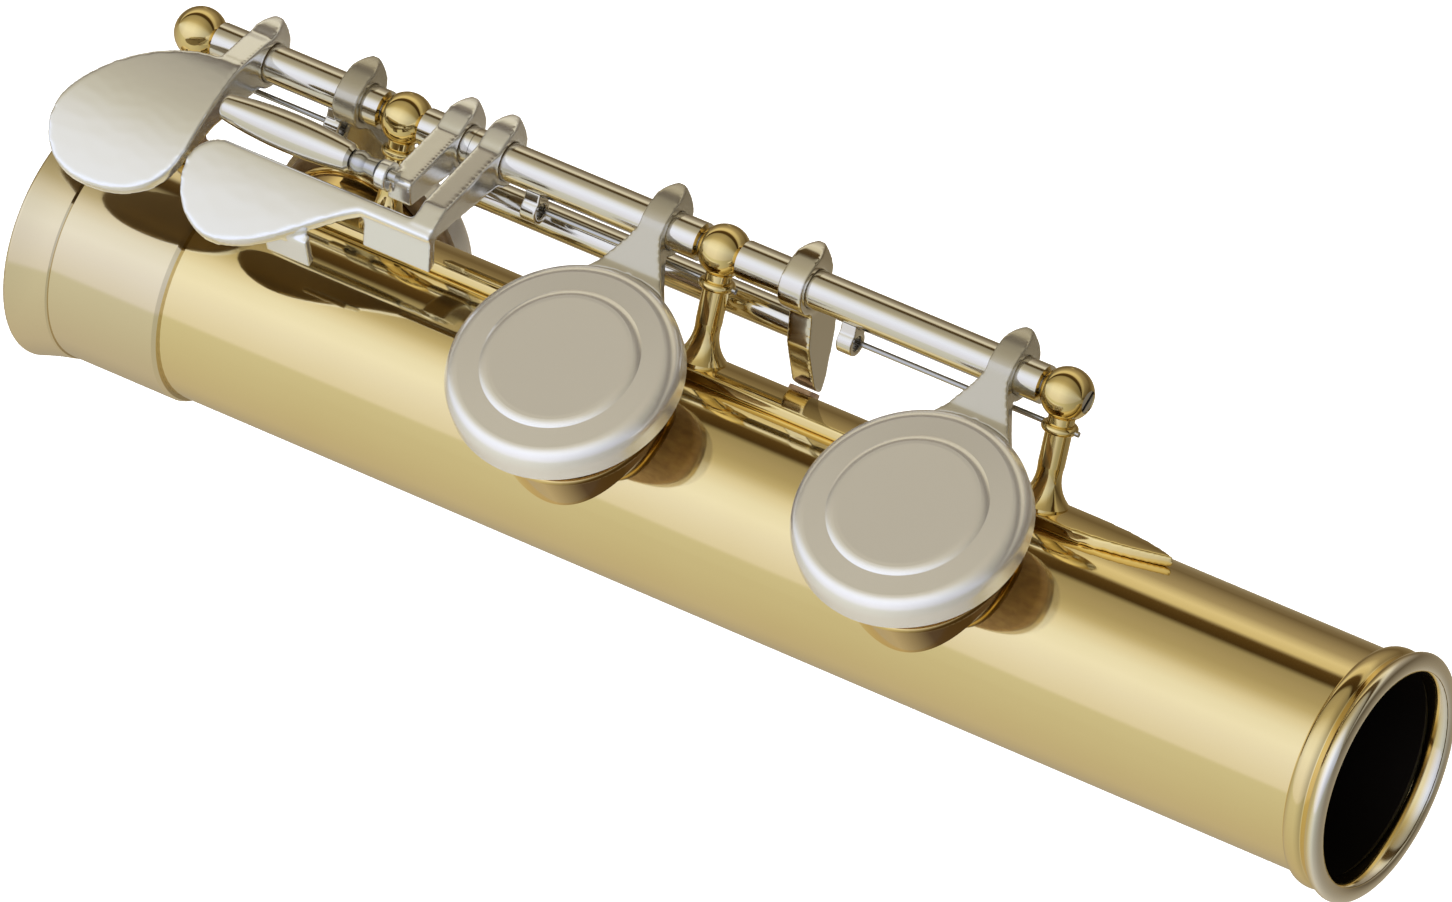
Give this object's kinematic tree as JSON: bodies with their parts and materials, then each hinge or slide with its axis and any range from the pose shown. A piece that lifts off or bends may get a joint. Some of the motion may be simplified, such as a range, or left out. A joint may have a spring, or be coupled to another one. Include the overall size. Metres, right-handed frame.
{
  "type": "flute foot joint",
  "caption": "C foot joint of a concert flute: tube with socket and flared end, ball posts, hinge rods, sprung keys with padded cups, a touch and a roller.",
  "frame": {"origin": "centre of the socket mouth, on the tube axis", "axes": "+X along the tube towards the open end; +Z the way the C sharp and C tone holes face; +Y towards the side that carries the hinge rods"},
  "size_m": [0.1315, 0.031, 0.0348],
  "materials": {
    "gold_lacquer": "polished clear lacquer",
    "silver_plate": "soft polished silver plate",
    "nickel_silver": "polished nickel silver",
    "steel": "blued and polished steel",
    "pad_skin": "thin skin over felt",
    "cork": "fine natural cork"
  },
  "bodies": {
    "foot_body": {"body_tube": "gold_lacquer", "socket_receiver": "gold_lacquer", "socket_ring": "gold_lacquer", "end_ring": "gold_lacquer", "post_rib": "gold_lacquer", "tone_chimney_d_sharp": "gold_lacquer", "tone_chimney_c_sharp": "gold_lacquer", "tone_chimney_c": "gold_lacquer", "post_1": "gold_lacquer", "post_1_saddle": "gold_lacquer", "post_2": "gold_lacquer", "post_3": "gold_lacquer", "post_4": "gold_lacquer", "hinge_rod_d_sharp": "steel", "hinge_rod_middle": "steel", "hinge_rod_c": "steel", "spring_d_sharp": "steel", "spring_c_sharp": "steel", "spring_c": "steel"},
    "d_sharp_key": {"d_sharp_hinge_tube": "nickel_silver", "d_sharp_touch": "silver_plate", "d_sharp_cup_arm": "nickel_silver", "d_sharp_spring_hook": "nickel_silver", "d_sharp_arm_cork": "cork", "d_sharp_cup": "silver_plate", "d_sharp_pad": "pad_skin", "d_sharp_pad_washer": "nickel_silver", "d_sharp_pad_screw": "steel"},
    "c_sharp_key": {"c_sharp_hinge_tube": "nickel_silver", "c_sharp_touch": "silver_plate", "c_sharp_touch_tab": "silver_plate", "c_sharp_cup_arm": "nickel_silver", "c_sharp_spring_hook": "nickel_silver", "c_sharp_cup": "silver_plate", "c_sharp_pad": "pad_skin", "c_sharp_pad_washer": "nickel_silver", "c_sharp_pad_screw": "steel"},
    "c_key": {"c_short_hinge_tube": "nickel_silver", "c_roller_lever": "silver_plate", "c_roller_pin": "steel", "c_bridge_bar": "nickel_silver", "c_foot_lever": "nickel_silver", "c_foot_cork": "cork", "c_hinge_tube": "nickel_silver", "c_cup_arm": "nickel_silver", "c_spring_hook": "nickel_silver", "c_cup": "silver_plate", "c_pad": "pad_skin", "c_pad_washer": "nickel_silver", "c_pad_screw": "steel"},
    "c_roller": {"c_roller": "silver_plate"}
  },
  "joints": [
    {"name": "d_sharp_key_press", "type": "hinge", "parent": "foot_body", "child": "d_sharp_key", "pos_m": [0.0185, 0.01585, 0.0133], "axis": [1, 0, 0], "range_deg": [0, 9], "stiffness_Nm_per_rad": 0.012, "springref_deg": -34.38},
    {"name": "c_sharp_key_press", "type": "hinge", "parent": "foot_body", "child": "c_sharp_key", "pos_m": [0.0473, 0.01585, 0.0133], "axis": [1, 0, 0], "range_deg": [0, 8.5], "stiffness_Nm_per_rad": 0.012, "springref_deg": -34.38},
    {"name": "c_key_press", "type": "hinge", "parent": "foot_body", "child": "c_key", "pos_m": [0.0778, 0.01585, 0.0133], "axis": [1, 0, 0], "range_deg": [0, 8.5], "stiffness_Nm_per_rad": 0.012, "springref_deg": -34.38},
    {"name": "c_roller_spin", "type": "hinge", "parent": "c_key", "child": "c_roller", "pos_m": [0.0231, 0.00895, 0.01895], "axis": [1, 0, 0], "continuous": true}
  ]
}
